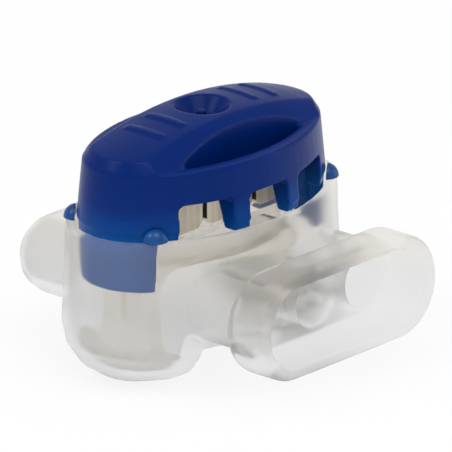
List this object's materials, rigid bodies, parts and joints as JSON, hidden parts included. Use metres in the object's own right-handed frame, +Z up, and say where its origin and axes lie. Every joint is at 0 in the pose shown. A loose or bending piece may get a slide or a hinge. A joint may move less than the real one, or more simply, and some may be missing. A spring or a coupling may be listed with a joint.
{
  "type": "wire connector",
  "caption": "Gel-filled insulation-displacement connector: translucent tub with a wire port, and a raised cap pressed down to drive a slotted contact plate onto the wires.",
  "frame": {"origin": "centre of the part's outline in plan, at the level of the end lobes' undersides", "axes": "+Z up, the way the cap is pulled; wires enter along +Y; +X along the cap"},
  "size_m": [0.0246, 0.0256, 0.0187],
  "materials": {
    "housing": "translucent natural polypropylene",
    "press_cap": "glossy deep blue polypropylene",
    "contact_plate": "tin-plated brass, satin",
    "cap_stops": "glossy deep blue polypropylene",
    "sealing_gel": "soft clear sealing gel"
  },
  "bodies": {
    "base": {"housing": "housing", "cap_stops": "cap_stops", "sealing_gel": "sealing_gel"},
    "cap": {"press_cap": "press_cap", "contact_plate": "contact_plate"}
  },
  "joints": [
    {"name": "cap_press", "type": "slide", "parent": "base", "child": "cap", "axis": [0, 0, -1], "range_m": [0, 0.0047]}
  ]
}
